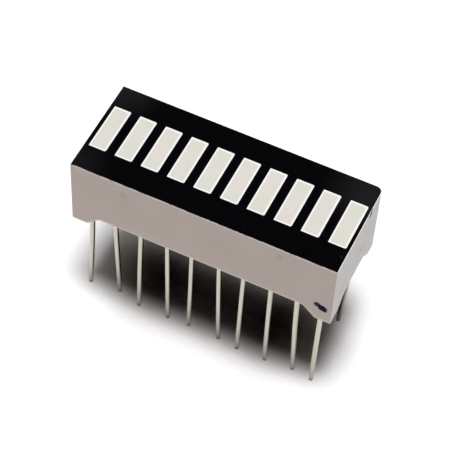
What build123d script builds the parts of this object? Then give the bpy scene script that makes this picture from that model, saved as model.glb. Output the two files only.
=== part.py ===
from build123d import *
from build123d.topology import SkipClean
from math import radians, tan
import os

# Led bar graph: ten lit segments in a moulded reflector housing that stands on two rows of pins
# Sizes are in millimetres. +X runs along the row of segments, +Y to the back and +Z up to the face.
# The origin is the centre of the pin grid on the seating plane, where the feet meet a circuit board.

# Pin grid
segment_count = 10
pin_pitch = 2.54
row_spacing = 7.62
pin_diameter = 0.5

# Each pin runs straight until it is a little past the feet, and leans from there to its tip
pin_reach = 11.45
pin_straight = 0.8

# Lean of each pin below its straight stretch, in degrees along the display and to the back
# A list runs as the pins are numbered: along the back row from the key corner, then along the front row
back_row_lean_angles = [
    (-2.0, -3.5),
    (0.5, -0.5),
    (1.3, 0.3),
    (-0.5, 0.8),
    (0.8, -0.3),
    (-1.3, 0.5),
    (0.3, 1.0),
    (1.0, -0.5),
    (-0.8, 0.3),
    (0.5, 0.8),
]
front_row_lean_angles = [
    (-1.5, 2.0),
    (0.1, 3.4),
    (-1.0, -0.1),
    (1.7, 0.0),
    (-0.5, 0.4),
    (2.5, 0.2),
    (-0.2, -1.0),
    (1.2, -0.8),
    (2.0, 0.5),
    (-0.6, -1.0),
]

# Housing, from the seating plane up
wall = 0.5
housing_height = 7.67
end_gap = 0.1
tray_key_radius = 0.1
edge_break = 0.04
face_skin = 1.2

# The lower edge of the walls is raised between the corner feet
rim_height = 1.2
arch_fillet = 0.45
side_foot_length = 1.5
side_ramp_length = 1.2
end_foot_length = 1.65
end_ramp_length = 1.3

# Windows in the printed face, set back a little from its middle, and the bare lip inside each one
window_width = 1.72
window_length = 5.0
window_corner_cut = 0.1
window_setback = 0.08
lip_width = 0.12
print_thickness = 0.05
cavity_draft_angle = 4.0

# Circuit board and the resin behind it
board_thickness = 1.0
board_clearance = 0.05
board_edge_margin = 0.39
copper_thickness = 0.035
potting_recess = 0.35
potting_thickness = 0.8

# Copper on the board: a square land at each pin, and pads joined to the lands by narrow tracks
pin_land = 1.0
track_width = 0.3
die_pad_width = 0.6
die_pad_length = 0.9
bond_pad_size = 0.4
bond_pad_gap = 0.25

# Solder, chips and wires, and the number of sides that stands for round where nothing shows
solder_radius = 0.46
solder_height = 0.35
solder_taper_angle = 35
hidden_sides = 6
chip_size = 0.3
chip_height = 0.2
glue_margin = 0.04
glue_thickness = 0.02
wire_diameter = 0.035
wire_rise = 0.14
wire_shoulder = 0.12

# Sizes worked out from those above
pin_radius = pin_diameter / 2
row_y = row_spacing / 2
body_length = segment_count * pin_pitch - end_gap
body_width = row_spacing + pin_diameter + 2 * (board_edge_margin + board_clearance + wall)
key_corner_radius = wall + tray_key_radius
cavity_width = window_width - 2 * lip_width
cavity_length = window_length - 2 * lip_width

# Levels, from the seating plane up
potting_level = rim_height + potting_recess
board_bottom = potting_level + potting_thickness
board_top = board_bottom + board_thickness
seat_level = board_top + copper_thickness
chip_level = seat_level + glue_thickness
chip_top = chip_level + chip_height
cavity_depth = housing_height - board_top

# Places along Y of the pads inside a cavity
chip_y = 0.0
die_pad_front = chip_y - die_pad_length / 2
bond_pad_y = die_pad_front - bond_pad_gap - bond_pad_size / 2

# Places along X of the segments and the pins
segment_spots = GridLocations(pin_pitch, 0, segment_count, 1)
pin_spots = GridLocations(pin_pitch, row_spacing, segment_count, 2)


def body_outline(sketch, inset):
    """Plan of the housing, moved in by inset, with the rounded key corner at the back right."""
    Rectangle(body_length - 2 * inset, body_width - 2 * inset)
    key = sketch.vertices().group_by(Axis.X)[-1].sort_by(Axis.Y)[-1]
    fillet(key, radius=key_corner_radius - inset)


def cavity(x, mode):
    """One tapered reflector cavity, from the face down to the laminate."""
    with BuildSketch(Plane.XY.offset(housing_height)) as mouth:
        with Locations((x, window_setback)):
            Rectangle(cavity_width, cavity_length)
    extrude(mouth.sketch, amount=-cavity_depth, taper=cavity_draft_angle, mode=mode)


def window_corners():
    """Outline of one window in the print, with its corners cut."""
    across = window_width / 2
    along = window_length / 2
    corners = []
    for side_x, side_y in ((1, 1), (-1, 1), (-1, -1), (1, -1)):
        ends = [
            (side_x * across, side_y * (along - window_corner_cut)),
            (side_x * (across - window_corner_cut), side_y * along),
        ]
        corners += ends if side_x == side_y else reversed(ends)
    return corners


def pin_shank(mode=Mode.ADD):
    """Section of a pin inside the resin and the board."""
    RegularPolygon(pin_radius, hidden_sides, mode=mode)


def arch(half_length, foot_length, ramp_length):
    """Space under one pair of walls: from foot to foot, up to the rim, with eased corners."""
    foot_edge = half_length - foot_length
    rim_edge = foot_edge - ramp_length
    with BuildLine() as edge:
        Polyline(
            (-half_length, 0),
            (-foot_edge, 0),
            (-rim_edge, rim_height),
            (rim_edge, rim_height),
            (foot_edge, 0),
            (half_length, 0),
            (half_length, -rim_height),
            (-half_length, -rim_height),
            close=True,
        )
    make_face(edge.line)


def save(part, name):
    """Names a finished piece and writes it."""
    part.label = name
    export_step(part, f"parts/{name}.step")


os.makedirs("parts", exist_ok=True)


# Housing: one moulding, cut from below for the board and from above by the reflector cavities
with BuildPart() as housing:
    with BuildSketch() as plan:
        body_outline(plan, 0)
    extrude(amount=housing_height)
    chamfer(housing.edges().group_by(Axis.Z)[-1], length=edge_break)

    with BuildSketch() as tray:
        body_outline(tray, wall)
    extrude(amount=seat_level, mode=Mode.SUBTRACT)

    # Troughs over the pin rows leave room for the solder and keep the plastic about as thick all over
    trough_inner = row_y - solder_radius - board_edge_margin
    trough_outer = body_width / 2 - wall
    with BuildSketch(Plane.XY.offset(seat_level)):
        with Locations((0, (trough_inner + trough_outer) / 2), (0, -(trough_inner + trough_outer) / 2)):
            Rectangle(body_length - 2 * wall, trough_outer - trough_inner)
    extrude(amount=housing_height - face_skin - seat_level, mode=Mode.SUBTRACT)

    for spot in segment_spots:
        cavity(spot.position.X, Mode.SUBTRACT)

    with BuildSketch(Plane.XZ) as side_arch:
        arch(body_length / 2, side_foot_length, side_ramp_length)
        fillet(side_arch.vertices().filter_by(lambda v: abs(v.X) < body_length / 2 - wall), radius=arch_fillet)
    extrude(amount=body_width, both=True, mode=Mode.SUBTRACT)
    with BuildSketch(Plane.YZ) as end_arch:
        arch(body_width / 2, end_foot_length, end_ramp_length)
        fillet(end_arch.vertices().filter_by(lambda v: abs(v.Y) < body_width / 2 - wall), radius=arch_fillet)
    extrude(amount=body_length, both=True, mode=Mode.SUBTRACT)
save(housing.part, "housing")


# Printed face: a thin black skin that stops short of the broken edge, with a window for each segment
with BuildPart() as face_print:
    with BuildSketch(Plane.XY.offset(housing_height)) as print_plan:
        body_outline(print_plan, edge_break)
        with segment_spots:
            with Locations((0, window_setback)):
                Polygon(*window_corners(), mode=Mode.SUBTRACT)
    extrude(amount=print_thickness)
save(face_print.part, "face_print")


# Circuit board: laminate with its copper, and a hole for each pin
with BuildPart() as circuit_board:
    with BuildSketch(Plane.XY.offset(board_bottom)) as board_plan:
        body_outline(board_plan, wall + board_clearance)
    extrude(amount=board_thickness)

    die_track_length = row_y - chip_y
    bond_track_length = row_y + bond_pad_y
    with BuildSketch(Plane.XY.offset(board_top)):
        with pin_spots:
            Rectangle(pin_land, pin_land)
        with segment_spots:
            with Locations((0, chip_y)):
                Rectangle(die_pad_width, die_pad_length)
            with Locations((0, chip_y + die_track_length / 2)):
                Rectangle(track_width, die_track_length)
            with Locations((0, bond_pad_y)):
                Rectangle(bond_pad_size, bond_pad_size)
            with Locations((0, bond_pad_y - bond_track_length / 2)):
                Rectangle(track_width, bond_track_length)
    extrude(amount=copper_thickness)

    with BuildSketch(Plane.XY.offset(board_bottom)):
        with pin_spots:
            pin_shank()
    extrude(amount=board_thickness + copper_thickness, mode=Mode.SUBTRACT)
save(circuit_board.part, "circuit_board")


# Resin behind the board, cast round the pins
with BuildPart() as back_potting:
    with BuildSketch(Plane.XY.offset(potting_level)) as potting_plan:
        body_outline(potting_plan, wall)
        with pin_spots:
            pin_shank(Mode.SUBTRACT)
    extrude(amount=potting_thickness)
save(back_potting.part, "back_potting")


# Solder: a mound over the end of each pin
with BuildPart() as solder_joints:
    with BuildSketch(Plane.XY.offset(seat_level)):
        with pin_spots:
            RegularPolygon(solder_radius, hidden_sides)
    extrude(amount=solder_height, taper=solder_taper_angle)
save(solder_joints.part, "solder_joints")


# Conductive glue under each chip
with BuildPart() as die_attach:
    with BuildSketch(Plane.XY.offset(seat_level)):
        with segment_spots:
            with Locations((0, chip_y)):
                Rectangle(chip_size + 2 * glue_margin, chip_size + 2 * glue_margin)
    extrude(amount=glue_thickness)
save(die_attach.part, "die_attach")


def make_chip(x):
    """One light emitting chip on its glue."""
    with BuildPart() as chip:
        with BuildSketch(Plane.XY.offset(chip_level)):
            with Locations((x, chip_y)):
                Rectangle(chip_size, chip_size)
        extrude(amount=chip_height)
    return chip.part


def make_wire(x):
    """One bond wire: straight up from the chip, over its shoulder and down to the bond pad."""
    with BuildPart() as wire:
        with BuildLine() as loop:
            shoulder_level = chip_top + wire_rise
            shoulder_y = chip_y - wire_shoulder
            slope = (shoulder_level - seat_level) / (shoulder_y - bond_pad_y)
            end_y = bond_pad_y - wire_diameter
            Polyline(
                (x, chip_y, chip_top),
                (x, chip_y, shoulder_level),
                (x, shoulder_y, shoulder_level),
                (x, end_y, seat_level - slope * wire_diameter),
            )
        with BuildSketch(Plane(origin=(x, chip_y, chip_top), z_dir=(0, 0, 1))):
            RegularPolygon(wire_diameter / 2, hidden_sides)
        sweep(path=loop.line, transition=Transition.RIGHT)
        split(bisect_by=Plane.XY.offset(seat_level), keep=Keep.TOP)
    return wire.part


def make_segment(x, chip, wire):
    """The resin bar of one segment, cast round its chip and wire."""
    with BuildPart() as segment:
        cavity(x, Mode.ADD)
        add(circuit_board.part, mode=Mode.SUBTRACT)
        add(die_attach.part, mode=Mode.SUBTRACT)
        add(chip, mode=Mode.SUBTRACT)
        add(wire, mode=Mode.SUBTRACT)
    return segment.part


# Segments are numbered from the key corner, as the pins are
for number, spot in enumerate(reversed(list(segment_spots)), start=1):
    chip = make_chip(spot.position.X)
    wire = make_wire(spot.position.X)
    segment = make_segment(spot.position.X, chip, wire)
    save(chip, f"led_chip_{number:02d}")
    save(wire, f"bond_wire_{number:02d}")
    save(segment, f"segment_{number:02d}")


def make_pin(x, y, lean):
    """One pin: its shank in the resin and the board, straight down past the feet, then leaning."""
    bend = Vector(x, y, -pin_straight)
    along = Vector(tan(radians(lean[0])), tan(radians(lean[1])), -1) * (pin_reach - pin_straight)
    mitre = Plane(origin=bend, z_dir=Vector(0, 0, -1) + along.normalized())

    # Both stretches run past the bend and are cut on the plane that halves its angle
    with BuildPart() as leaning:
        with BuildSketch(Plane(origin=bend - along.normalized() * pin_diameter, z_dir=along)):
            Circle(pin_radius)
        extrude(amount=along.length + pin_diameter)
        split(bisect_by=mitre, keep=Keep.TOP)
    with BuildPart() as exposed:
        with BuildSketch():
            with Locations((x, y)):
                Circle(pin_radius)
        extrude(amount=-pin_straight - pin_diameter)
        split(bisect_by=mitre, keep=Keep.BOTTOM)
        add(leaning.part)

    with BuildPart() as pin:
        with BuildSketch(Plane.XY.offset(potting_level)):
            with Locations((x, y)):
                pin_shank()
        extrude(amount=seat_level - potting_level)
        with BuildSketch():
            with Locations((x, y)):
                Circle(pin_radius)
        extrude(amount=potting_level)

        # The stretch below the seating plane, which a board or a socket takes, stays a face of its own
        with SkipClean():
            add(exposed.part)
    return pin.part


# Pins are numbered as on any such package: along the back from the key corner, then along the front
pin_columns = [spot.position.X for spot in segment_spots]
pin_plan = list(zip(reversed(pin_columns), [row_y] * segment_count, back_row_lean_angles))
pin_plan += list(zip(pin_columns, [-row_y] * segment_count, front_row_lean_angles))
for number, (x, y, lean) in enumerate(pin_plan, start=1):
    save(make_pin(x, y, lean), f"pin_{number:02d}")
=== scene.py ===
"""Looks of a ten-segment led bar graph: finishes, small forms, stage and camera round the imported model."""

from math import cos, pi, radians, sin

import bmesh
import bpy
from bpy.props import FloatProperty, FloatVectorProperty, IntProperty, PointerProperty
from mathutils import Matrix, Vector


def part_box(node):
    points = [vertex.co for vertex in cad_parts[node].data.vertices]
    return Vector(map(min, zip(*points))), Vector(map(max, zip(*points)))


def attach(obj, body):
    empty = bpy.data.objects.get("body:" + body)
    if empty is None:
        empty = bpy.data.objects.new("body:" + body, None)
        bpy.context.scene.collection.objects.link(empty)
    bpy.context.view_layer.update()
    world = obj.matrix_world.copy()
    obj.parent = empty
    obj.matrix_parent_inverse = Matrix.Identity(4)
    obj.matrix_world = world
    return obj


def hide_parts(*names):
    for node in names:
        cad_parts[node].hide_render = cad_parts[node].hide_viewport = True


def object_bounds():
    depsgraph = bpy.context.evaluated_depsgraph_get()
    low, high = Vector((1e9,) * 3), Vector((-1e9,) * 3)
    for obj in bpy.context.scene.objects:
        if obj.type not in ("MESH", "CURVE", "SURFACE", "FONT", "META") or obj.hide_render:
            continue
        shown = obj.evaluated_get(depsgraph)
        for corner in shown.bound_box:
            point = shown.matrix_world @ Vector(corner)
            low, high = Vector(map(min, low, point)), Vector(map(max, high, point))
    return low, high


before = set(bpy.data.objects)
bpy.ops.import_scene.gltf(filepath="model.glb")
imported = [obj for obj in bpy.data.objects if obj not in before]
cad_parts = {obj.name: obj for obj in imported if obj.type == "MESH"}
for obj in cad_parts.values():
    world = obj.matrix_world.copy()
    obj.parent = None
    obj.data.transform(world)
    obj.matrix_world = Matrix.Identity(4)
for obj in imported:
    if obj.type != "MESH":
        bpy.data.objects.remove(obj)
CAD_LOW, CAD_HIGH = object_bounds()

bl_info = {
    "name": "Led bar graph looks",
    "version": (1, 0, 0),
    "blender": (4, 5, 0),
    "location": "3D View > Sidebar > Bar graph",
    "description": "Finishes the packed bar graph and sets it on a pale stage",
    "category": "Object",
}

MM = 0.001
BODY = "root"


def nodes_named(start):
    """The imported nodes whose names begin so, in order."""
    return sorted(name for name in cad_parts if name.startswith(start))


def box_mm(node):
    """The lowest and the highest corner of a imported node, in millimetres."""
    return [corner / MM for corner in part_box(node)]


SEGMENTS = nodes_named("segment_")
PINS = nodes_named("pin_")
CHIPS = nodes_named("led_chip_")
BOND_WIRES = nodes_named("bond_wire_")

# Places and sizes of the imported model, in millimetres
HALF_LENGTH, HALF_DEPTH, TOP = box_mm("housing")[1]
TIP_LEVEL = CAD_LOW.z / MM
RESIN_EDGE = box_mm("back_potting")[1]
COPPER_TOP = box_mm("circuit_board")[1].z
CHIP_TOP = box_mm(CHIPS[0])[1].z
SEGMENT_LOW, SEGMENT_HIGH = box_mm(SEGMENTS[0])
PITCH = abs(box_mm(SEGMENTS[1])[0].x - SEGMENT_LOW.x)
PIN_ROW = 1.5 * PITCH

# The arches between the housing's feet, in millimetres
SIDE_FOOT, SIDE_RAMP = 1.5, 1.2
END_FOOT, END_RAMP = 1.65, 1.3
ARCH_HEIGHT = 1.2

# How far left of a window's middle the print ends, in millimetres
PRINT_CREEP = 0.81


class Link:
    """An output of a node, which adds a Math node for each operator that is used on it."""

    def __init__(self, graph, socket):
        self.graph = graph
        self.socket = socket

    def __add__(self, other):
        return self.graph.math("ADD", self, other)

    def __radd__(self, other):
        return self.graph.math("ADD", other, self)

    def __sub__(self, other):
        return self.graph.math("SUBTRACT", self, other)

    def __rsub__(self, other):
        return self.graph.math("SUBTRACT", other, self)

    def __mul__(self, other):
        return self.graph.math("MULTIPLY", self, other)

    def __rmul__(self, other):
        return self.graph.math("MULTIPLY", other, self)

    def __truediv__(self, other):
        return self.graph.math("DIVIDE", self, other)

    def __rtruediv__(self, other):
        return self.graph.math("DIVIDE", other, self)

    def __pow__(self, other):
        return self.graph.math("POWER", self, other)

    def __neg__(self):
        return self.graph.math("MULTIPLY", self, -1.0)

    def __abs__(self):
        return self.graph.math("ABSOLUTE", self)


class Graph:
    """A node tree that is written as Python expressions."""

    def __init__(self, tree):
        self.tree = tree

    def node(self, kind, settings=None, sockets=None):
        """Adds a node, makes its settings, then feeds its sockets. Returns its outputs by name or place."""
        node = self.tree.nodes.new(kind)
        for name, value in (settings or {}).items():
            setattr(node, name, value)
        for key, value in (sockets or {}).items():
            if isinstance(value, Link):
                self.tree.links.new(value.socket, node.inputs[key])
            else:
                node.inputs[key].default_value = value
        return {key: Link(self, socket) for key, socket in [*enumerate(node.outputs), *node.outputs.items()]}

    def math(self, operation, *values):
        """One Math node on numbers or links."""
        return self.node("ShaderNodeMath", {"operation": operation}, dict(enumerate(values)))[0]

    def vector(self, operation, *values):
        """One Vector Math node on vectors, which gives a vector."""
        return self.node("ShaderNodeVectorMath", {"operation": operation}, dict(enumerate(values)))["Vector"]

    def scaled(self, vector, factor):
        """A vector times a number."""
        sockets = {0: vector, "Scale": factor}
        return self.node("ShaderNodeVectorMath", {"operation": "SCALE"}, sockets)["Vector"]

    def soft(self, value, low, high):
        """Rises smoothly from 0 at low to 1 at high."""
        sockets = {"Value": value, "From Min": low, "From Max": high}
        return self.node("ShaderNodeMapRange", {"interpolation_type": "SMOOTHSTEP"}, sockets)["Result"]

    def least(self, first, second):
        return self.math("MINIMUM", first, second)

    def most(self, first, second):
        return self.math("MAXIMUM", first, second)

    def seen_ray(self):
        """1 for a ray that the viewer follows: straight, mirrored or through something clear."""
        path = self.node("ShaderNodeLightPath")
        turned = self.most(path["Is Glossy Ray"], path["Is Transmission Ray"])
        return self.most(path["Is Camera Ray"], turned)


class Finish(Graph):
    """A material with one Principled shader. Its x, y and z are the place on the object in millimetres."""

    def __init__(self, name, **constants):
        self.material = bpy.data.materials.new(name)
        self.material.use_nodes = True
        super().__init__(self.material.node_tree)
        self.tree.nodes.clear()
        self.shader = self.tree.nodes.new("ShaderNodeBsdfPrincipled")
        output = self.tree.nodes.new("ShaderNodeOutputMaterial")
        self.tree.links.new(self.shader.outputs["BSDF"], output.inputs["Surface"])
        for socket, value in constants.items():
            self.shader.inputs[socket.replace("_", " ").title().replace("Ior", "IOR")].default_value = value
        self.place = self.scaled(self.node("ShaderNodeTexCoord")["Object"], 1 / MM)
        axes = self.node("ShaderNodeSeparateXYZ", None, {"Vector": self.place})
        self.x, self.y, self.z = axes["X"], axes["Y"], axes["Z"]

    def feed(self, **links):
        """Leads links to the shader's sockets of those names."""
        for name, link in links.items():
            self.tree.links.new(link.socket, self.shader.inputs[name.replace("_", " ").title()])

    def mix(self, factor, first, second):
        """Mixes two colours, each a link or three numbers."""
        first, second = (value if isinstance(value, Link) else (*value, 1.0) for value in (first, second))
        return self.node("ShaderNodeMix", {"data_type": "RGBA"}, {0: factor, 6: first, 7: second})[2]

    def noise(self, scale, detail=2.0, roughness=0.5, stretch=(1, 1, 1), shift=0.0):
        """Noise from 0 to 1 with scale cells to a millimetre, times what stretch says for each axis."""
        place = self.vector("MULTIPLY", self.place, stretch)
        place = self.vector("ADD", place, (shift, shift, shift))
        sockets = {"Vector": place, "Scale": scale, "Detail": detail, "Roughness": roughness}
        return self.node("ShaderNodeTexNoise", None, sockets)[0]

    def bump(self, height, depth, below=None):
        """A normal for a relief of that depth in millimetres where height runs from 0 to 1."""
        sockets = {"Strength": 1.0, "Distance": depth * MM, "Height": height}
        if below is not None:
            sockets["Normal"] = below
        return self.node("ShaderNodeBump", None, sockets)["Normal"]

    def distance(self, axes, point):
        """Distance from a point in the plane of two axes."""
        across = axes[0] - point[0]
        along = axes[1] - point[1]
        return self.math("SQRT", across * across + along * along)

    def near(self, axes, point, radius, edge):
        """1 within radius of such a point, with a soft edge."""
        return 1 - self.soft(self.distance(axes, point), radius - edge, radius + edge)


def colour(name, text, default, limit=1.0):
    """A colour setting."""
    return FloatVectorProperty(
        name=name, description=text, subtype="COLOR", size=3, min=0, max=limit, default=default
    )


def length(name, text, millimetres):
    """A length setting, in metres."""
    return FloatProperty(
        name=name, description=text, default=millimetres * MM, min=0, unit="LENGTH", precision=6
    )


def level(name, text, default):
    """A setting for the level of a light, where 1 lights a white surface to white."""
    return FloatProperty(name=name, description=text, default=default, min=0)


def spread(name, text, degrees):
    """A setting for how wide a light looks from the object."""
    return FloatProperty(name=name, description=text, default=radians(degrees), subtype="ANGLE")


class HousingSettings(bpy.types.PropertyGroup):
    """Sizes and colours of the moulded housing."""

    edge_round: length("Edge rounding", "Rounding of the moulding's edges", 0.04)
    plastic: colour("Plastic", "Colour of the moulding", (0.80, 0.735, 0.70))
    shade: colour("Plastic shade", "Darker tone that clouds the moulding", (0.765, 0.70, 0.665))
    # Painted light: the moulding is paler towards its foot, where light from the floor falls on it
    painted_floor_light: colour("Skirt", "Paler tone towards the foot of the moulding", (0.90, 0.83, 0.795))
    # The bare moulding round the print, painted paler as light from above; the paler band also runs down the
    # top of the walls
    bare_top_painted_light: colour("Bare plastic", "Colour of the moulding round the print", (0.97, 0.97, 0.955))
    # Painted highlight: a pale line along the moulding's lower edge
    painted_foot_highlight: colour("Foot line", "Colour of the line along the lower edge", (1.0, 0.97, 0.94))
    overrun: colour("Overrun", "Colour of the print that reaches over the rim", (0.004, 0.004, 0.006))
    mould_mark: colour("Mould marks", "Colour of the mould's marks on the front wall", (0.46, 0.34, 0.30))
    end_mark: colour("End mark", "Colour of the round mark on the end wall", (0.40, 0.40, 0.48))
    nick: colour("Nick", "Colour of the nick on the end wall", (0.05, 0.022, 0.02))
    ink: colour("Ink mark", "Colour of the hand-made mark by the corner foot", (0.004, 0.0005, 0.02))
    ink_fringe: colour("Ink fringe", "Colour of the thin edge of that mark", (0.20, 0.12, 0.42))


class FaceSettings(bpy.types.PropertyGroup):
    """Colours of the printed face."""

    ink: colour("Ink", "Colour of the print", (0.0006, 0.0006, 0.0010))
    # Painted sheen: the print is paler and bluer near three corners, where it would mirror light
    painted_sheen: colour("Thin ink", "Colour of the print near the corners", (0.0145, 0.0145, 0.0165))
    speck: colour("Speck", "Colour of the speck by the front right corner", (0.03, 0.03, 0.06))
    dust: colour("Dust", "Colour of the dust", (0.05, 0.05, 0.055))


class SegmentSettings(bpy.types.PropertyGroup):
    """Colours of the cast segments."""

    warm: colour("Warm tone", "Warm tone of the diffusing resin", (0.76, 0.72, 0.665))
    cool: colour("Cool tone", "Greenish tone of the diffusing resin", (0.725, 0.725, 0.63))
    grain: colour("Grain", "Darker tone of its fine grain", (0.60, 0.58, 0.53))
    border: colour("Border", "Colour where the cavity's wall shows through", (0.97, 0.97, 0.95))


class PinSettings(bpy.types.PropertyGroup):
    """Sizes and colours of the tinned pins."""

    radius: length("Radius", "Radius of the wire", 0.25)
    tip_round: length("Tip rounding", "Rounding of the cut end", 0.05)
    bend: length("Bend", "How far below the seating plane a pin starts to lean", 0.8)
    bend_round: length("Bend rounding", "Radius of the bend where it starts to lean", 4.0)
    waver: length("Waver", "How far a pin strays from a straight line", 0.03)
    sides: IntProperty(name="Sides", description="Faces round the wire", default=24, min=8)
    rings: IntProperty(name="Rings", description="Rings along the wire", default=56, min=16)
    tin: colour("Tin", "Colour of the tinned wire", (0.505, 0.488, 0.41))
    dull: colour("Dull tin", "Colour of the duller lower half", (0.355, 0.33, 0.295))
    # Painted shade on the corner pin of the back row
    painted_shade: colour("Tarnish", "Colour of the tarnish on the corner pin", (0.12, 0.115, 0.08))
    cut: colour("Cut end", "Colour at the cut end", (0.15, 0.125, 0.11))


class ResinSettings(bpy.types.PropertyGroup):
    """Sizes and colours of the resin cast behind the board."""

    climb: length("Climb", "How far the resin climbs a wall or a pin", 0.2)
    reach: length("Reach", "How far from a wall or a pin the climb dies out", 0.22)
    clear: colour("Resin", "Colour of the resin", (0.70, 0.67, 0.58))
    cloud: colour("Cloud", "Darker tone that clouds the resin", (0.62, 0.58, 0.47))
    bubble: colour("Bubbles", "Colour of the trapped specks", (0.82, 0.80, 0.74))


class InsideSettings(bpy.types.PropertyGroup):
    """Sizes and colours of what the housing hides."""

    weave: length("Weave", "Width of two threads of the board's glass cloth", 0.8)
    laminate: colour("Laminate", "Colour of the board between the threads", (0.42, 0.36, 0.16))
    thread: colour("Thread", "Colour of the board's threads", (0.58, 0.52, 0.28))
    copper: colour("Copper", "Colour of the copper", (0.80, 0.50, 0.32))
    dull_copper: colour("Dull copper", "Darker tone of the copper", (0.72, 0.38, 0.22))
    solder: colour("Solder", "Colour of the solder", (0.72, 0.72, 0.72))
    frost: colour("Frost", "Darker tone of the solder", (0.50, 0.50, 0.50))
    glue: colour("Glue", "Colour of the silver-filled glue", (0.38, 0.38, 0.38))
    silver: colour("Silver", "Colour of the glue's silver grains", (0.60, 0.60, 0.60))
    chip_top: colour("Chip", "Colour of the top of a chip", (0.40, 0.34, 0.22))
    sawn: colour("Sawn side", "Colour of a chip's sawn sides", (0.10, 0.09, 0.08))
    saw_mark: colour("Saw marks", "Paler tone of the sawn sides", (0.20, 0.18, 0.15))
    wire: colour("Bond wire", "Colour of a bond wire", (0.90, 0.66, 0.28))
    wire_shade: colour("Bond wire shade", "Darker tone of a bond wire", (0.82, 0.58, 0.22))


class StageSettings(bpy.types.PropertyGroup):
    """Colours and levels of the stage."""

    floor: colour("Floor", "Colour of the floor, as it lights the object", (0.28, 0.28, 0.28))
    open_floor: colour("Open floor", "Colour of the floor seen in the open", (1.13, 1.12, 1.135), 2.0)
    dim_floor: colour("Dim floor", "Warmer tone of it where the display shades it", (1.13, 0.95, 0.93), 2.0)
    shade_reach: length("Shade reach", "How far from the display the floor is shaded", 14.7)
    sky_level: level("Sky", "Level of the light from all round", 0.02)
    key_level: level("Key", "Level of the light from above", 0.82)
    key_spread: spread("Key spread", "Softness of the key's shadow", 16)
    fill_level: level("Fill", "Level of the second light from above", 0.14)
    fill_spread: spread("Fill spread", "Softness of the fill's shadow", 32)
    end_level: level("End light", "Level of the light on the end wall", 0.69)
    end_tint: colour("End light's tint", "Colour of the light on the end wall", (0.90, 0.955, 1.0))
    front_level: level("Front light", "Level of the light on the front", 0.405)
    front_tint: colour("Front light's tint", "Colour of the light on the front", (1.0, 0.855, 0.775))
    low_spread: spread("Low spread", "Softness of the shadows of the end and front lights", 8)


class BarGraphSettings(bpy.types.PropertyGroup):
    """Everything that a user would change."""

    housing: PointerProperty(type=HousingSettings)
    face: PointerProperty(type=FaceSettings)
    segment: PointerProperty(type=SegmentSettings)
    pin: PointerProperty(type=PinSettings)
    resin: PointerProperty(type=ResinSettings)
    inside: PointerProperty(type=InsideSettings)
    stage: PointerProperty(type=StageSettings)


def new_piece(name, mesh):
    """An object with that mesh, at the origin."""
    piece = bpy.data.objects.new(name, mesh)
    bpy.context.scene.collection.objects.link(piece)
    return piece


def settle(piece, finish, slot, *nodes):
    """Gives a piece its material and body, and hides the nodes that it stands for. The slot is not used."""
    piece.data.materials.clear()
    piece.data.materials.append(finish.material)
    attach(piece, BODY)
    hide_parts(*nodes)


def paint(finish, *nodes):
    """Gives the nodes' own meshes a material."""
    for node in nodes:
        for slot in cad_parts[node].material_slots:
            slot.material = finish.material


def bake_modifiers(piece):
    """Turns what the piece's modifiers make into its plain mesh."""
    evaluated = piece.evaluated_get(bpy.context.evaluated_depsgraph_get())
    mesh = bpy.data.meshes.new_from_object(evaluated)
    piece.modifiers.clear()
    piece.data = mesh


def merged_copy(node, name):
    """A new piece in the shape of a node, with its loose triangles joined and its flat faces whole."""
    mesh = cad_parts[node].data.copy()
    shape = bmesh.new()
    shape.from_mesh(mesh)
    bmesh.ops.remove_doubles(shape, verts=shape.verts, dist=0.0005 * MM)
    bmesh.ops.dissolve_limit(shape, angle_limit=radians(0.5), verts=shape.verts, edges=shape.edges)
    shape.to_mesh(mesh)
    shape.free()
    return new_piece(name, mesh)


def tree_modifier(piece, tree, inputs):
    """Puts a geometry tree on a piece and sets its named inputs by their identifiers."""
    modifier = piece.modifiers.new(tree.name, "NODES")
    modifier.node_group = tree
    sockets = (item for item in tree.interface.items_tree if item.in_out == "INPUT")
    identifiers = {socket.name: socket.identifier for socket in sockets}
    for name, value in inputs.items():
        modifier[identifiers[name]] = value


def geometry_graph(name, inputs):
    """An empty geometry tree with those named inputs. Returns the graph and its input links."""
    tree = bpy.data.node_groups.new(name, "GeometryNodeTree")
    tree.interface.new_socket("Geometry", in_out="INPUT", socket_type="NodeSocketGeometry")
    tree.interface.new_socket("Geometry", in_out="OUTPUT", socket_type="NodeSocketGeometry")
    for label, kind in inputs.items():
        tree.interface.new_socket(label, in_out="INPUT", socket_type=f"NodeSocket{kind}")
    graph = Graph(tree)
    return graph, graph.node("NodeGroupInput")


def close_graph(graph, geometry, material):
    """Ends a geometry tree: real geometry with its material."""
    real = graph.node("GeometryNodeRealizeInstances", None, {"Geometry": geometry})["Geometry"]
    real = graph.node("GeometryNodeSetMaterial", None, {"Geometry": real, "Material": material})["Geometry"]
    graph.node("NodeGroupOutput", None, {0: real})


def across_pitch(f):
    """Place across the pitch of one segment or pin, in millimetres from its middle."""
    return (f.math("FRACT", f.x / PITCH) - 0.5) * PITCH


def on_wall(f, outwards, half):
    """1 on the housing's wall on that side."""
    return f.soft(outwards, half - 0.04, half - 0.01)


def on_rim(f, outwards, half, width):
    """1 on a border of about that width on that side of the face."""
    return f.soft(outwards, half - width, half - width + 0.1)


def painted_foot_highlight(f, wall, from_middle, arch_end, ramp):
    """A painted highlight along the lower edge of a wall, which rises by a ramp from each foot to its arch.
    """
    rise = f.least(f.most((arch_end - abs(from_middle)) / ramp, 0.0), 1.0)
    return wall * (1 - f.soft(f.z - rise * ARCH_HEIGHT, 0.12, 0.26))


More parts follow.
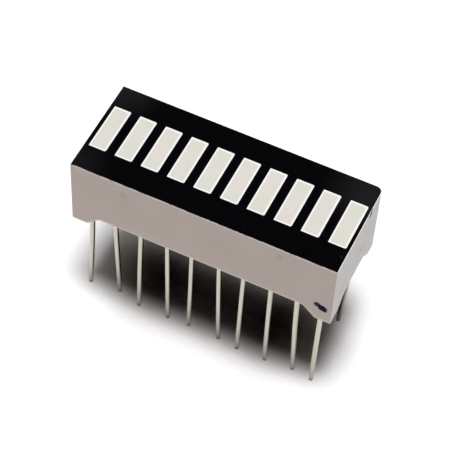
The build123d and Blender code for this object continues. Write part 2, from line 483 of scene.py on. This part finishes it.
def plain_plastic(f, front, end, settings):
    """Clouded plastic with painted light: paler towards its foot and at its bare face, and a painted
    highlight at its lower edge.
    """
    base = f.mix(f.soft(f.noise(0.22, 3.0), 0.35, 0.7), settings.plastic, settings.shade)
    # Painted light from the floor: paler towards the foot
    base = f.mix((1 - f.soft(f.z, 0.0, 6.0)) * 0.3, base, settings.painted_floor_light)
    # Painted light: the bare moulding at the face and the top of the walls is paler, as light from above
    # falls there
    base = f.mix(f.soft(f.z, TOP - 0.08 - end * 0.05, TOP - 0.03), base, settings.bare_top_painted_light)
    # A painted highlight along the lower edge of the front and end walls
    front_highlight = painted_foot_highlight(f, front, f.x, HALF_LENGTH - SIDE_FOOT, SIDE_RAMP)
    end_highlight = painted_foot_highlight(f, end, f.y, HALF_DEPTH - END_FOOT, END_RAMP)
    return f.mix(front_highlight + end_highlight, base, settings.painted_foot_highlight)


def print_overrun(f, front):
    """1 where the print runs over the moulding: on the rim at the back and the left, in patches on the rim
    at the front, and on the left lip of each window."""
    whole = f.most(on_rim(f, f.y, HALF_DEPTH, 0.4), on_rim(f, -f.x, HALF_LENGTH, 0.35))
    patches = f.soft(f.noise(1.3, 2.0, shift=9.0), 0.5, 0.6) * 0.4 + 0.45
    ragged = patches * on_rim(f, -f.y, HALF_DEPTH, 0.3)
    lip = f.soft(-across_pitch(f), PRINT_CREEP - 0.01, PRINT_CREEP + 0.01) * (1 - front)
    return f.most(whole, f.most(ragged, lip)) * f.soft(f.z, TOP - 0.04, TOP - 0.02)


# Places of the small marks on the front and end walls, in millimetres: across the wall and up
RING_PLACE = (-7.53, 6.24)
SPOT_PLACE = (7.38, 6.57)
END_MARK_PLACE = (1.17, 3.51)
NICK_PLACE = (2.23, 7.34)

# The ink mark on the front wall, in millimetres: a round lobe with a bare fleck, and a long lobe that slopes
# down to its right
ROUND_LOBE = (11.24, 2.08)
ROUND_RADIUS = 0.27
FLECK_PLACE = (11.20, 2.06)
LONG_LOBE = (11.74, 1.80)
LONG_HALF_LENGTH = 0.46
LONG_HALF_WIDTH = 0.36
LONG_SLOPE = radians(-32)


def ink_blot(f):
    """Rises outwards from the two lobes of the ink mark, to 1 at about its ragged edge."""
    from_round = f.distance((f.x, f.z), ROUND_LOBE) / ROUND_RADIUS
    across = f.x - LONG_LOBE[0]
    up = f.z - LONG_LOBE[1]
    along = (across * cos(LONG_SLOPE) + up * sin(LONG_SLOPE)) / LONG_HALF_LENGTH
    athwart = (up * cos(LONG_SLOPE) - across * sin(LONG_SLOPE)) / LONG_HALF_WIDTH
    from_long = f.math("SQRT", along * along + athwart * athwart)
    return f.least(from_round, from_long) + (f.noise(3.2, 2.0, shift=4.0) - 0.5) * 0.6


def housing_finish(settings):
    """Satin moulded plastic with the print's overrun, the mould's marks, a nick and a hand-made ink mark."""
    f = Finish("housing_plastic", specular_ior_level=0.03)
    front = on_wall(f, -f.y, HALF_DEPTH)
    end = on_wall(f, f.x, HALF_LENGTH)
    base = plain_plastic(f, front, end, settings)
    base = f.mix(print_overrun(f, front), base, settings.overrun)

    # The mould left a faint ring on the front wall's left and a faint spot on its right
    ring = f.near((f.x, f.z), RING_PLACE, 0.30, 0.06) - f.near((f.x, f.z), RING_PLACE, 0.15, 0.06)
    spot = f.near((f.x, f.z), SPOT_PLACE, 0.28, 0.12)
    base = f.mix(front * (ring * 0.4 + spot * 0.3), base, settings.mould_mark)

    # The right end has a faint round mark and a small brown nick
    end_mark = f.near((f.y, f.z), END_MARK_PLACE, 0.30, 0.14) * end * 0.4
    base = f.mix(end_mark, base, settings.end_mark)
    nick = f.near((f.y, f.z), NICK_PLACE, 0.8 * f.noise(3.0, 2.0), 0.08) * end
    base = f.mix(nick * (0.5 + 0.7 * f.noise(7.0, 1.0, shift=3.0)), base, settings.nick)

    # The ink mark has a thin fringe, and a fleck in its round lobe is bare
    blot = ink_blot(f)
    fringe = (1 - f.soft(blot, 1.0, 1.4)) * front
    base = f.mix(fringe * 0.8, base, settings.ink_fringe)
    mark = (1 - f.soft(blot, 0.95, 1.08)) * front
    fleck = f.near((f.x, f.z), FLECK_PLACE, 0.08, 0.05)
    base = f.mix(mark * (1 - fleck * 0.7), base, settings.ink)

    relief = f.bump(f.noise(9.0, 3.0, 0.6), 0.0035)
    relief = f.bump(1 - (ring + spot) * front, 0.012, relief)
    f.feed(base_color=base, roughness=0.42 + 0.14 * f.noise(1.2, 2.0) - mark * 0.1, normal=relief)
    return f


# Where a sheen is painted on the print near three corners, in millimetres: the place on the face, its
# radius, the softness of its edge and a share from 0 to 1 of how strong the painted sheen gets
PAINTED_SHEEN_PATCHES = (
    ((-12.4, 4.8), 2.3, 2.1, 1.0),
    ((12.2, 4.0), 2.8, 2.4, 1.0),
    ((-12.4, -4.6), 2.0, 1.8, 0.6),
)
SPECK_PLACE = (12.30, -3.38)


def print_finish(settings):
    """Black screen ink with a low sheen, a painted sheen near three corners, a speck and a little dust."""
    f = Finish("face_ink", specular_ior_level=0.01)
    # A painted sheen, paler and bluer, near three corners of the print
    sheen_mask = 0.0
    for place, radius, edge, share in PAINTED_SHEEN_PATCHES:
        sheen_mask = f.most(sheen_mask, f.near((f.x, f.y), place, radius, edge) * share)
    base = f.mix(sheen_mask * (0.6 + 0.4 * f.noise(0.6, 2.0)), settings.ink, settings.painted_sheen)
    speck = f.near((f.x, f.y), SPECK_PLACE, 0.10, 0.06)
    base = f.mix(speck * 0.6, base, settings.speck)
    dust = f.soft(f.noise(5.5, 0.0), 0.78, 0.84)
    base = f.mix(dust * 0.1, base, settings.dust)
    relief = f.bump(f.noise(7.0, 2.0), 0.002)
    f.feed(base_color=base, roughness=0.5 + 0.15 * f.noise(0.8, 2.0), normal=relief)
    return f


def segment_finish(settings):
    """Milky diffusing resin in warm and greenish clouds, paler along its border."""
    f = Finish("segment_resin", specular_ior_level=0.4, coat_roughness=0.2)
    base = f.mix(f.soft(f.noise(0.55, 2.0), 0.35, 0.65), settings.warm, settings.cool)
    grain = f.noise(5.0, 2.0, 0.6)
    base = f.mix(grain * 0.12, base, settings.grain)

    # The resin is thin over the sloping wall of its cavity, so the white plastic shows there
    middle = (SEGMENT_LOW + SEGMENT_HIGH) / 2
    half = (SEGMENT_HIGH - SEGMENT_LOW) / 2
    inside = f.least(half.x - abs(across_pitch(f)), half.y - abs(f.y - middle.y))
    base = f.mix((1 - f.soft(inside, 0.0, 0.16)) * 0.85, base, settings.border)
    relief = f.bump(f.noise(1.4, 2.0), 0.006)
    f.feed(base_color=base, roughness=0.30 + 0.12 * grain, normal=relief)
    return f


def pin_finish(settings):
    """Dipped tin on copper wire: satin, streaked along it, duller below and darkest at the cut end."""
    f = Finish("tinned_wire", metallic=1.0)
    drawn = f.noise(3.2, 2.0, stretch=(1, 1, 0.12))
    handled = 1 - f.soft(f.z, TIP_LEVEL + 1.0, TIP_LEVEL + 5.5)
    dull = handled * (0.25 + 0.6 * f.noise(1.1, 2.0, shift=5.0)) + f.soft(drawn, 0.55, 0.75) * 0.25
    dull = f.least(dull, 1.0)
    base = f.mix(dull, settings.tin, settings.dull)

    # Only the corner pin of the back row is darkened, as painted shade where it mirrors the dark floor under
    # the display
    corner = f.soft(f.y, 0.0, 1.0) * f.soft(f.x, 4 * PITCH - 0.1, 4 * PITCH + 0.1)
    base = f.mix(corner * 0.6, base, settings.painted_shade)
    cut = 1 - f.soft(f.z, TIP_LEVEL + 0.05, TIP_LEVEL + 0.60)
    base = f.mix(cut * 0.8, base, settings.cut)
    rough = 0.12 + 0.15 * dull + 0.06 * f.noise(2.0, 2.0, shift=2.0)
    f.feed(base_color=base, roughness=rough, normal=f.bump(drawn, 0.003))
    return f


def resin_finish(settings, pin_radius):
    """Cast milky resin with a wet surface and a few trapped specks."""
    f = Finish("back_resin", specular_ior_level=0.5)
    cloud = f.noise(0.35, 3.0)
    base = f.mix(f.soft(cloud, 0.3, 0.7), settings.clear, settings.cloud)
    bubble = f.soft(f.noise(3.0, 0.0), 0.77, 0.82)
    base = f.mix(bubble * 0.5, base, settings.bubble)
    relief = f.bump(f.noise(0.5, 1.0), 0.02)

    # The resin climbs a little where it meets a wall or a pin
    wall_gap = f.least(RESIN_EDGE.x - abs(f.x), RESIN_EDGE.y - abs(f.y))
    pin_gap = f.distance((across_pitch(f), abs(f.y)), (0.0, PIN_ROW)) - pin_radius / MM
    climb = 1 - f.soft(f.least(wall_gap, pin_gap), 0.0, settings.reach / MM)
    relief = f.bump(climb * climb, settings.climb / MM, relief)
    f.feed(base_color=base, roughness=0.12 + 0.10 * cloud, normal=relief)
    return f


def board_finish(settings):
    """Laminate with a woven glass ground and a copper layer on its upper side."""
    f = Finish("board_laminate")
    turn_per_mm = 2 * pi * MM / settings.weave
    warp = abs(f.math("SINE", f.x * turn_per_mm))
    weft = abs(f.math("SINE", f.y * turn_per_mm))
    ground = f.mix(warp * weft, settings.laminate, settings.thread)
    copper = f.soft(f.z, COPPER_TOP - 0.03, COPPER_TOP - 0.02)
    metal = f.mix(f.noise(2.0, 3.0), settings.dull_copper, settings.copper)
    base = f.mix(copper, ground, metal)
    relief = f.bump(warp * weft, 0.006)
    f.feed(base_color=base, roughness=0.55 - copper * 0.2, metallic=copper, normal=relief)
    return f


def solder_finish(settings):
    """Bright solder, dulled in patches as it set."""
    f = Finish("solder", metallic=1.0)
    frost = f.noise(2.5, 3.0)
    base = f.mix(frost, settings.solder, settings.frost)
    f.feed(base_color=base, roughness=0.2 + 0.3 * frost, normal=f.bump(frost, 0.01))
    return f


def glue_finish(settings):
    """Silver-filled glue."""
    f = Finish("silver_glue", metallic=0.6)
    grain = f.noise(40.0, 2.0)
    base = f.mix(grain, settings.glue, settings.silver)
    f.feed(base_color=base, roughness=0.5 + 0.3 * grain, normal=f.bump(grain, 0.002))
    return f


def chip_finish(settings):
    """Sawn semiconductor: dark sides and a paler, smoother top."""
    f = Finish("chip")
    top = f.soft(f.z, CHIP_TOP - 0.01, CHIP_TOP)
    saw = f.noise(30.0, 2.0, stretch=(0.1, 0.1, 1))
    base = f.mix(top, f.mix(saw, settings.sawn, settings.saw_mark), settings.chip_top)
    f.feed(base_color=base, roughness=0.6 - 0.35 * top, metallic=top * 0.5, normal=f.bump(saw, 0.002))
    return f


def bond_wire_finish(settings):
    """Fine bright wire."""
    f = Finish("bond_wire", metallic=1.0)
    drawn = f.noise(60.0, 1.0)
    f.feed(base_color=f.mix(drawn, settings.wire, settings.wire_shade), roughness=0.18 + 0.12 * drawn)
    return f


# The floor is seen as black where less of its sky is free than the first share, and as white over the second
BLACK_BELOW, WHITE_ABOVE = 0.795, 0.94


def floor_finish(settings):
    """Pale floor, white where it is seen, apart from the deep soft shade round and under the display."""
    f = Finish("stage_floor", specular_ior_level=0.0)

    # Light that has bounced twice isn't sent on, so the shade stays deep
    late = f.math("GREATER_THAN", f.node("ShaderNodeLightPath")["Diffuse Depth"], 1.5)
    ground = f.mix(late, settings.floor, (0.0, 0.0, 0.0))
    free = f.node("ShaderNodeAmbientOcclusion", {"samples": 64}, {"Distance": settings.shade_reach})["AO"]
    lit = f.soft(free, BLACK_BELOW, WHITE_ABOVE)
    shown = f.mix(lit, (0.0, 0.0, 0.0), f.mix(lit ** 0.5, settings.dim_floor, settings.open_floor))
    f.feed(base_color=f.mix(f.seen_ray(), ground, shown), roughness=0.8 + 0.1 * f.noise(1.5, 2.0))
    return f


class BARGRAPH_OT_housing(bpy.types.Operator):
    """Rounds the edges of the moulding and gives it its plastic."""

    bl_idname = "bargraph.housing"
    bl_label = "Finish housing"

    def execute(self, context):
        settings = context.scene.bar_graph.housing
        piece = merged_copy("housing", "moulded_housing")
        bevel = piece.modifiers.new("edges", "BEVEL")
        bevel.width = settings.edge_round
        bevel.segments = 3
        bevel.limit_method = "ANGLE"
        bevel.angle_limit = radians(28)

        # Normals that follow the large faces keep the walls flat between the rounded edges
        normals = piece.modifiers.new("flat_walls", "WEIGHTED_NORMAL")
        normals.weight = 100
        for face in piece.data.polygons:
            face.use_smooth = True
        bake_modifiers(piece)
        settle(piece, housing_finish(settings), "housing_plastic", "housing")
        return {"FINISHED"}


class BARGRAPH_OT_face(bpy.types.Operator):
    """Gives the printed face its ink."""

    bl_idname = "bargraph.face"
    bl_label = "Finish face"

    def execute(self, context):
        paint(print_finish(context.scene.bar_graph.face), "face_print")
        return {"FINISHED"}


class BARGRAPH_OT_segments(bpy.types.Operator):
    """Gives the segments their milky resin."""

    bl_idname = "bargraph.segments"
    bl_label = "Finish segments"

    def execute(self, context):
        paint(segment_finish(context.scene.bar_graph.segment), *SEGMENTS)
        return {"FINISHED"}


# How a pin is drawn: points in its bend, rings in the rounding of its tip, waves along it, and the step from
# pin to pin in the noise that makes the waves
BEND_POINTS = 8
TIP_RINGS = 6
WAVES = 2.0
WAVE_STEP = 7.3


def pin_tree(material):
    """A round wire along a line with one bend, a little wavy, with its far end rounded off."""
    inputs = {
        "Radius": "Float",
        "Tip rounding": "Float",
        "Bend rounding": "Float",
        "Waver": "Float",
        "Seed": "Float",
        "Sides": "Int",
        "Rings": "Int",
        "Tip rings": "Int",
    }
    g, given = geometry_graph("Round-tipped wire", inputs)
    radius, tip_round = given["Radius"], given["Tip rounding"]
    line = g.node("GeometryNodeMeshToCurve", None, {"Mesh": given["Geometry"]})["Curve"]
    bend = {"Curve": line, "Count": BEND_POINTS, "Radius": given["Bend rounding"], "Limit Radius": True}
    line = g.node("GeometryNodeFilletCurve", {"mode": "POLY"}, bend)["Curve"]
    even = {"Curve": line, "Count": given["Rings"]}
    points = g.node("GeometryNodeResampleCurve", {"mode": "COUNT"}, even)["Curve"]

    # Rings are even along the wire and crowd into the rounding of its tip
    share = g.node("GeometryNodeSplineParameter")["Factor"]
    total = g.node("GeometryNodeCurveLength", None, {"Curve": line})["Length"]
    plain = 1 - given["Tip rings"] / given["Rings"]
    turn = g.most((share - plain) / (1 - plain), 0.0) * (pi / 2)
    along = g.least(share / plain, 1.0) * (total - tip_round) + tip_round * g.math("SINE", turn)
    narrowing = 1 - tip_round / radius * (1 - g.math("COSINE", turn))
    sampled = g.node("GeometryNodeSampleCurve", {"mode": "LENGTH"}, {0: line, "Length": along})["Position"]

    # The waver grows along the wire and has died out at both ends
    passed = along / total
    waves = {"W": passed * WAVES + given["Seed"] * WAVE_STEP, "Scale": 1.0, "Detail": 0.0}
    wave = g.node("ShaderNodeTexNoise", {"noise_dimensions": "1D"}, waves)["Color"]
    aside = g.vector("MULTIPLY", g.vector("SUBTRACT", wave, (0.5, 0.5, 0.5)), (2, 2, 0))
    aside = g.scaled(aside, g.math("SINE", passed * pi) * given["Waver"])
    moved = {"Geometry": points, "Position": g.vector("ADD", sampled, aside)}
    placed = g.node("GeometryNodeSetPosition", None, moved)["Geometry"]

    circle = {"Resolution": given["Sides"], "Radius": radius}
    ring = g.node("GeometryNodeCurvePrimitiveCircle", None, circle)["Curve"]
    swept = {"Curve": placed, "Profile Curve": ring, "Scale": narrowing, "Fill Caps": True}
    close_graph(g, g.node("GeometryNodeCurveToMesh", None, swept)["Mesh"], material)
    return g.tree


# How far to the right of its place a pin stands where it leaves the resin, in millimetres
PIN_OFFSETS = {
    "pin_01": -0.12,
    "pin_11": 0.20,
    "pin_14": 0.12,
    "pin_16": 0.16,
    "pin_18": 0.12,
    "pin_19": 0.12,
    "pin_20": -0.12,
}

# The same for its tip
TIP_OFFSETS = {"pin_01": -0.10, "pin_11": -0.13, "pin_19": 0.06}


def pin_line(node, bend):
    """Centres of a pin's upper end, of its bend and of its tip."""
    corners = [vertex.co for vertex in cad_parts[node].data.vertices]
    low, high = (corner.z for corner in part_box(node))
    ends = []
    for end_level in (high, low):
        ring = [corner for corner in corners if abs(corner.z - end_level) < 0.05 * MM]
        spans = [[corner[axis] for corner in ring] for axis in range(3)]
        ends.append(Vector([(min(span) + max(span)) / 2 for span in spans]))
    top, tip = ends
    top.x += PIN_OFFSETS.get(node, 0.0) * MM
    tip.x += TIP_OFFSETS.get(node, 0.0) * MM
    return [top, Vector((top.x, top.y, -bend)), tip]


class BARGRAPH_OT_pins(bpy.types.Operator):
    """Draws each pin as a round-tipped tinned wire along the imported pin's line."""

    bl_idname = "bargraph.pins"
    bl_label = "Draw pins"

    def execute(self, context):
        settings = context.scene.bar_graph.pin
        finish = pin_finish(settings)
        tree = pin_tree(finish.material)
        for number, node in enumerate(PINS):
            mesh = bpy.data.meshes.new(f"tinned_{node}")
            mesh.from_pydata(pin_line(node, settings.bend), [(0, 1), (1, 2)], [])
            piece = new_piece(f"tinned_{node}", mesh)
            inputs = {
                "Radius": settings.radius,
                "Tip rounding": settings.tip_round,
                "Bend rounding": settings.bend_round,
                "Waver": settings.waver,
                "Seed": float(number),
                "Sides": settings.sides,
                "Rings": settings.rings,
                "Tip rings": TIP_RINGS,
            }
            tree_modifier(piece, tree, inputs)
            bake_modifiers(piece)
            piece.data.set_sharp_from_angle(angle=radians(50))

            # In light this soft a pin is too thin to darken the floor at its tip
            piece.visible_shadow = False
            settle(piece, finish, "tinned_wire", node)
        return {"FINISHED"}


class BARGRAPH_OT_back_resin(bpy.types.Operator):
    """Gives the resin behind the board its finish."""

    bl_idname = "bargraph.back_resin"
    bl_label = "Finish back resin"

    def execute(self, context):
        settings = context.scene.bar_graph
        paint(resin_finish(settings.resin, settings.pin.radius), "back_potting")
        return {"FINISHED"}


class BARGRAPH_OT_inside(bpy.types.Operator):
    """Finishes what the housing hides: board, solder, glue, chips and bond wires."""

    bl_idname = "bargraph.inside"
    bl_label = "Finish inside"

    def execute(self, context):
        settings = context.scene.bar_graph.inside
        paint(board_finish(settings), "circuit_board")
        paint(solder_finish(settings), "solder_joints")
        paint(glue_finish(settings), "die_attach")
        paint(chip_finish(settings), *CHIPS)
        paint(bond_wire_finish(settings), *BOND_WIRES)
        return {"FINISHED"}


# The photograph's camera, in millimetres from the origin of the part
CAMERA_PLACE = Vector((38.32, -91.90, 134.88))
CAMERA_TARGET = Vector((2.123, -4.809, 7.70))
CAMERA_ROLL = radians(3.74)
CAMERA_LENS = 149.35
CAMERA_SENSOR = 36

# Half the side of the floor, in millimetres
FLOOR_HALF = 1500


def sun(name, strength, direction, softness, tint=(1, 1, 1)):
    """A sun that shines that way and gives a surface facing it that level of light."""
    data = bpy.data.lights.new(name, "SUN")
    data.energy = strength * pi
    data.angle = softness
    data.color = tint
    lamp = bpy.data.objects.new(name, data)
    lamp.rotation_euler = Vector(direction).to_track_quat("-Z", "Y").to_euler()
    bpy.context.scene.collection.objects.link(lamp)


class BARGRAPH_OT_stage(bpy.types.Operator):
    """Sets the floor, the light and the camera."""

    bl_idname = "bargraph.stage"
    bl_label = "Set stage"

    def execute(self, context):
        settings = context.scene.bar_graph.stage
        self.lay_floor(settings)
        self.light(settings)
        self.hang_sky(context.scene, settings)
        self.point_camera(context.scene)
        context.scene.view_settings.view_transform = "Standard"
        return {"FINISHED"}

    def lay_floor(self, settings):
        """A wide flat floor just under the pins' tips."""
        half = FLOOR_HALF * MM
        corners = [(x * half, y * half, CAD_LOW.z) for x, y in ((-1, -1), (1, -1), (1, 1), (-1, 1))]
        mesh = bpy.data.meshes.new("floor")
        mesh.from_pydata(corners, [], [(0, 1, 2, 3)])
        floor = new_piece("floor", mesh)
        mesh.materials.append(floor_finish(settings).material)

    def light(self, settings):
        """Two soft lights from above, and two low ones onto the right end and the front."""
        sun("key", settings.key_level, (-0.05, 0.10, -1), settings.key_spread)
        sun("fill", settings.fill_level, (0.115, -0.09, -1), settings.fill_spread)
        sun("end_light", settings.end_level, (-1, 0, 0), settings.low_spread, settings.end_tint)
        sun("front_light", settings.front_level, (0, 1, 0), settings.low_spread, settings.front_tint)

    def hang_sky(self, scene, settings):
        """An even sky, which lights weakly and is seen as white."""
        world = bpy.data.worlds.new("sky")
        world.use_nodes = True
        sky = Graph(world.node_tree)
        sky.tree.nodes.clear()
        strength = settings.sky_level + sky.seen_ray() * (1 - settings.sky_level)
        background = sky.node("ShaderNodeBackground", None, {"Color": (1, 1, 1, 1), "Strength": strength})
        sky.node("ShaderNodeOutputWorld", None, {"Surface": background["Background"]})
        scene.world = world

    def point_camera(self, scene):
        """The camera of the photograph."""
        data = bpy.data.cameras.new("camera")
        data.lens = CAMERA_LENS
        data.sensor_width = CAMERA_SENSOR
        data.clip_start = 5 * MM
        data.clip_end = 10000 * MM
        camera = bpy.data.objects.new("camera", data)
        aim = (CAMERA_TARGET - CAMERA_PLACE).to_track_quat("-Z", "Y").to_matrix().to_4x4()
        turned = aim @ Matrix.Rotation(CAMERA_ROLL, 4, "Z")
        camera.matrix_world = Matrix.Translation(CAMERA_PLACE * MM) @ turned
        scene.collection.objects.link(camera)
        scene.camera = camera


STEPS = (
    BARGRAPH_OT_housing,
    BARGRAPH_OT_face,
    BARGRAPH_OT_segments,
    BARGRAPH_OT_pins,
    BARGRAPH_OT_back_resin,
    BARGRAPH_OT_inside,
    BARGRAPH_OT_stage,
)


class BARGRAPH_PT_panel(bpy.types.Panel):
    """Lists the steps in the order in which they are run."""

    bl_idname = "BARGRAPH_PT_panel"
    bl_label = "Led bar graph"
    bl_space_type = "VIEW_3D"
    bl_region_type = "UI"
    bl_category = "Bar graph"

    def draw(self, context):
        for step in STEPS:
            self.layout.operator(step.bl_idname)


CLASSES = (
    HousingSettings,
    FaceSettings,
    SegmentSettings,
    PinSettings,
    ResinSettings,
    InsideSettings,
    StageSettings,
    BarGraphSettings,
    *STEPS,
    BARGRAPH_PT_panel,
)


def register():
    for cls in CLASSES:
        bpy.utils.register_class(cls)
    bpy.types.Scene.bar_graph = PointerProperty(type=BarGraphSettings)


def unregister():
    del bpy.types.Scene.bar_graph
    for cls in reversed(CLASSES):
        bpy.utils.unregister_class(cls)


def main():
    register()
    for step in STEPS:
        group, name = step.bl_idname.split(".")
        getattr(getattr(bpy.ops, group), name)()


if __name__ == "__main__":
    main()
